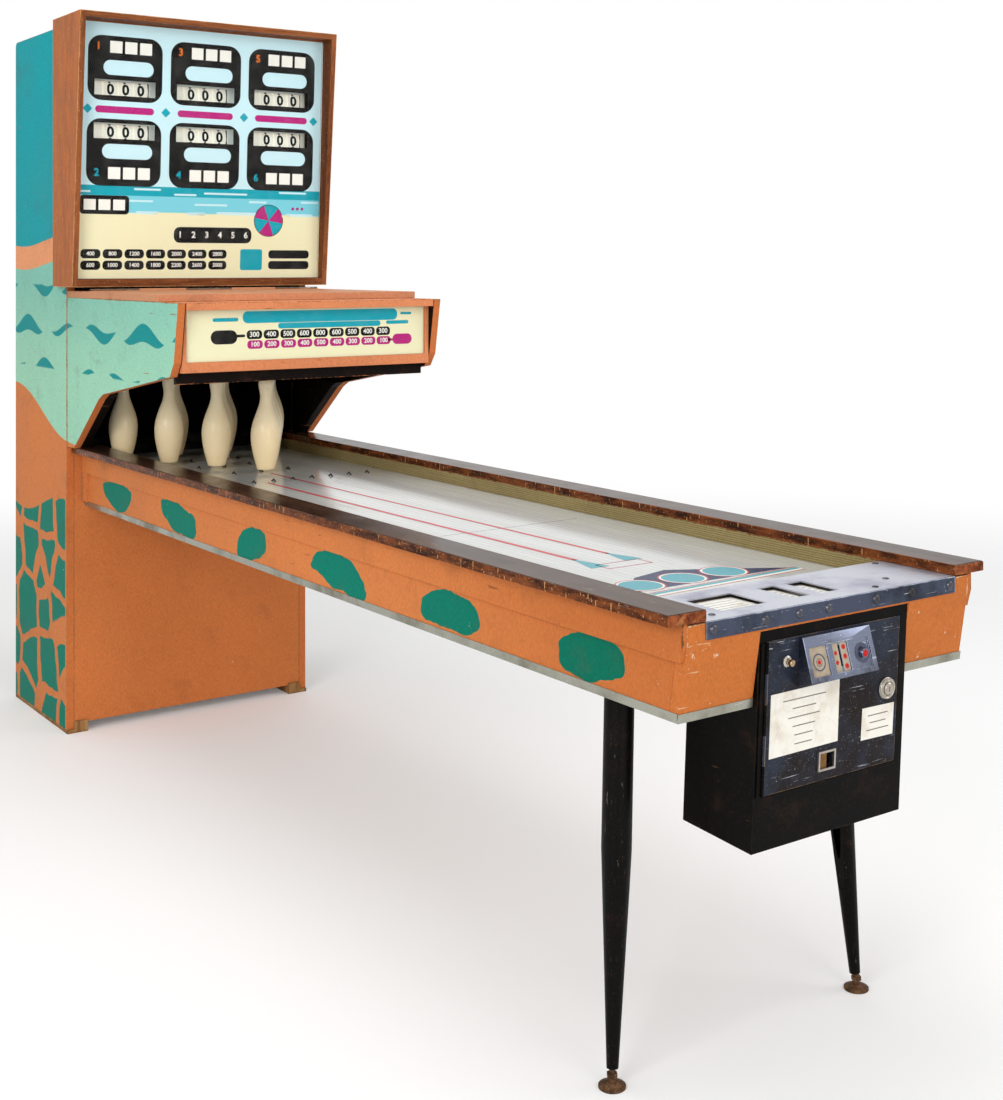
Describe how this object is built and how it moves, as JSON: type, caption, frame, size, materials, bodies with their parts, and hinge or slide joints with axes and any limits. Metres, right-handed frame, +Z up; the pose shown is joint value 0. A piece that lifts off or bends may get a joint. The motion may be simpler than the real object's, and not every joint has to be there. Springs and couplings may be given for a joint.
{
  "type": "bowling arcade machine",
  "caption": "Puck bowling arcade machine: tall teal cabinet with a score head, a hood over hinged pins, and a long lane on splayed black legs with a coin box.",
  "frame": {"origin": "on the floor, under the middle of the whole machine's length and width", "axes": "+Z up, +Y from the player's end of the lane to the back of the cabinet, +X to the player's right"},
  "size_m": [0.689, 2.608, 1.752],
  "materials": {
    "side_paint": "painted plywood, teal with aqua and orange zones",
    "orange_paint": "painted plywood, orange",
    "frame_wood": "worn brown moulding",
    "rail_wood": "worn dark rail veneer",
    "lane_wood": "lacquered pale lane board",
    "liner_wood": "dark gloss liner",
    "bare_ply": "bare plywood",
    "cabinet_glass": "printed score glass",
    "hood_pane": "printed hood glass",
    "white_sheet": "white insert",
    "reel_white": "printed score drums",
    "pin_ivory": "gloss ivory",
    "hinge_steel": "plated, dulled",
    "rack_steel": "plain plated steel",
    "trim_steel": "galvanised edging",
    "apron_steel": "brushed, scuffed",
    "bolt_steel": "plated bolts",
    "box_black": "worn black enamel",
    "leg_black": "black enamel, chipped",
    "head_chrome": "worn chrome casting",
    "button_chrome": "chrome",
    "flap_brass": "dull brass",
    "can_zinc": "grey tinplate",
    "foot_rust": "rust-brown glide",
    "wire_steel": "bright wire",
    "cushion_rubber": "black rubber on wood",
    "relay_dark": "board with relays",
    "core_steel": "laminated core"
  },
  "bodies": {
    "machine": {"cabinet_side_left": "side_paint", "cabinet_side_right": "side_paint", "cabinet_front_panel": "side_paint", "cabinet_back_frame": "bare_ply", "cabinet_base": "bare_ply", "cabinet_top_board": "side_paint", "light_board": "white_sheet", "relay_panel": "relay_dark", "transformer": "core_steel", "hood_side_left": "side_paint", "hood_side_right": "side_paint", "hood_cross_rails": "orange_paint", "hood_front_frame": "frame_wood", "hood_glass": "hood_pane", "pin_rack": "rack_steel", "rebound_cushion": "cushion_rubber", "lane_side_left": "orange_paint", "lane_side_right": "orange_paint", "rail_left": "rail_wood", "rail_right": "rail_wood", "lane_front_panel": "orange_paint", "lane_bottom_board": "bare_ply", "playfield": "lane_wood", "edge_trim": "trim_steel", "apron_plate": "apron_steel", "apron_bolts": "bolt_steel", "cash_box_housing": "box_black", "cash_can": "can_zinc", "leg_left": "leg_black", "leg_right": "leg_black", "piano_hinges": "hinge_steel"},
    "backglass_door": {"backglass_frame": "frame_wood", "backglass": "cabinet_glass"},
    "coin_door": {"coin_door": "box_black", "coin_entry_head": "head_chrome", "coin_mechanism": "rack_steel"},
    "score_reels_upper": {"score_reels_upper": "reel_white"},
    "score_reels_lower": {"score_reels_lower": "reel_white"},
    "rear_door": {"rear_door": "bare_ply"},
    "hood_lid": {"hood_lid": "orange_paint"},
    "reject_button": {"reject_button": "button_chrome"},
    "start_button": {"start_button": "button_chrome"},
    "lock_cylinder": {"lock_cylinder": "button_chrome"},
    "coin_return_flap": {"coin_return_flap": "flap_brass"},
    "leveller_left": {"leveller_left": "foot_rust"},
    "leveller_right": {"leveller_right": "foot_rust"},
    "pin_1": {"pin_1": "pin_ivory"},
    "pin_2": {"pin_2": "pin_ivory"},
    "pin_3": {"pin_3": "pin_ivory"},
    "pin_4": {"pin_4": "pin_ivory"},
    "pin_5": {"pin_5": "pin_ivory"},
    "pin_6": {"pin_6": "pin_ivory"},
    "pin_7": {"pin_7": "pin_ivory"},
    "pin_8": {"pin_8": "pin_ivory"},
    "pin_9": {"pin_9": "pin_ivory"},
    "pin_10": {"pin_10": "pin_ivory"},
    "rollover_row_1": {"rollover_row_1": "wire_steel"},
    "rollover_row_2": {"rollover_row_2": "wire_steel"},
    "rollover_row_3": {"rollover_row_3": "wire_steel"},
    "rollover_row_4": {"rollover_row_4": "wire_steel"}
  },
  "joints": [
    {"name": "backglass_door_hinge", "type": "hinge", "parent": "machine", "child": "backglass_door", "pos_m": [-0.3308, 0.963, 1.114], "axis": [0, 0, -1], "range_deg": [0, 100]},
    {"name": "hood_lid_hinge", "type": "hinge", "parent": "machine", "child": "hood_lid", "pos_m": [-0.306, 0.8045, 1.087], "axis": [-1, 0, 0], "range_deg": [0, 75]},
    {"name": "rear_door_pivot", "type": "hinge", "parent": "machine", "child": "rear_door", "pos_m": [-0.2415, 1.298, 0.19], "axis": [0, 0, 1], "range_deg": [0, 100]},
    {"name": "coin_door_hinge", "type": "hinge", "parent": "machine", "child": "coin_door", "pos_m": [-0.1345, -1.27132, 0.4322], "axis": [0, 0.0523, -0.9986], "range_deg": [0, 110]},
    {"name": "reject_button_slide", "type": "slide", "parent": "coin_door", "child": "reject_button", "axis": [0, 0.9986, 0.0523], "range_m": [0, 0.0035], "stiffness_N_per_m": 400, "springref_m": -0.003},
    {"name": "start_button_slide", "type": "slide", "parent": "coin_door", "child": "start_button", "axis": [0, 0.9986, 0.0523], "range_m": [0, 0.005], "stiffness_N_per_m": 300, "springref_m": -0.004},
    {"name": "lock_cylinder_turn", "type": "hinge", "parent": "coin_door", "child": "lock_cylinder", "pos_m": [0.11, -1.28181, 0.5408], "axis": [0, -0.9986, -0.0523], "range_deg": [0, 90]},
    {"name": "coin_return_flap_hinge", "type": "hinge", "parent": "coin_door", "child": "coin_return_flap", "pos_m": [-0.0224, -1.27053, 0.45927], "axis": [0, -0.0523, 0.9986], "range_deg": [0, 60], "stiffness_Nm_per_rad": 0.004, "springref_deg": -17.19},
    {"name": "score_reels_upper_shaft", "type": "hinge", "parent": "machine", "child": "score_reels_upper", "pos_m": [0, 0.915, 1.579], "axis": [1, 0, 0], "continuous": true},
    {"name": "score_reels_lower_shaft", "type": "hinge", "parent": "machine", "child": "score_reels_lower", "pos_m": [0, 0.915, 1.474], "axis": [1, 0, 0], "continuous": true},
    {"name": "pin_1_pivot", "type": "hinge", "parent": "machine", "child": "pin_1", "pos_m": [0, 0.486, 0.898], "axis": [1, 0, 0], "range_deg": [0, 85]},
    {"name": "pin_2_pivot", "type": "hinge", "parent": "machine", "child": "pin_2", "pos_m": [-0.067, 0.612, 0.898], "axis": [1, 0, 0], "range_deg": [0, 85]},
    {"name": "pin_3_pivot", "type": "hinge", "parent": "machine", "child": "pin_3", "pos_m": [0.067, 0.612, 0.898], "axis": [1, 0, 0], "range_deg": [0, 85]},
    {"name": "pin_4_pivot", "type": "hinge", "parent": "machine", "child": "pin_4", "pos_m": [-0.134, 0.738, 0.898], "axis": [1, 0, 0], "range_deg": [0, 85]},
    {"name": "pin_5_pivot", "type": "hinge", "parent": "machine", "child": "pin_5", "pos_m": [0, 0.738, 0.898], "axis": [1, 0, 0], "range_deg": [0, 85]},
    {"name": "pin_6_pivot", "type": "hinge", "parent": "machine", "child": "pin_6", "pos_m": [0.134, 0.738, 0.898], "axis": [1, 0, 0], "range_deg": [0, 85]},
    {"name": "pin_7_pivot", "type": "hinge", "parent": "machine", "child": "pin_7", "pos_m": [-0.201, 0.864, 0.898], "axis": [1, 0, 0], "range_deg": [0, 85]},
    {"name": "pin_8_pivot", "type": "hinge", "parent": "machine", "child": "pin_8", "pos_m": [-0.067, 0.864, 0.898], "axis": [1, 0, 0], "range_deg": [0, 85]},
    {"name": "pin_9_pivot", "type": "hinge", "parent": "machine", "child": "pin_9", "pos_m": [0.067, 0.864, 0.898], "axis": [1, 0, 0], "range_deg": [0, 85]},
    {"name": "pin_10_pivot", "type": "hinge", "parent": "machine", "child": "pin_10", "pos_m": [0.201, 0.864, 0.898], "axis": [1, 0, 0], "range_deg": [0, 85]},
    {"name": "rollover_row_1_travel", "type": "slide", "parent": "machine", "child": "rollover_row_1", "axis": [0, 0, -1], "range_m": [0, 0.003], "stiffness_N_per_m": 1500, "springref_m": -0.004},
    {"name": "rollover_row_2_travel", "type": "slide", "parent": "machine", "child": "rollover_row_2", "axis": [0, 0, -1], "range_m": [0, 0.003], "stiffness_N_per_m": 1500, "springref_m": -0.004},
    {"name": "rollover_row_3_travel", "type": "slide", "parent": "machine", "child": "rollover_row_3", "axis": [0, 0, -1], "range_m": [0, 0.003], "stiffness_N_per_m": 1500, "springref_m": -0.004},
    {"name": "rollover_row_4_travel", "type": "slide", "parent": "machine", "child": "rollover_row_4", "axis": [0, 0, -1], "range_m": [0, 0.003], "stiffness_N_per_m": 1500, "springref_m": -0.004},
    {"name": "leveller_left_thread", "type": "hinge", "parent": "machine", "child": "leveller_left", "pos_m": [-0.25, -1.0945, 0], "axis": [0, 0, 1], "continuous": true},
    {"name": "leveller_right_thread", "type": "hinge", "parent": "machine", "child": "leveller_right", "pos_m": [0.25, -1.0945, 0], "axis": [0, 0, 1], "continuous": true}
  ]
}
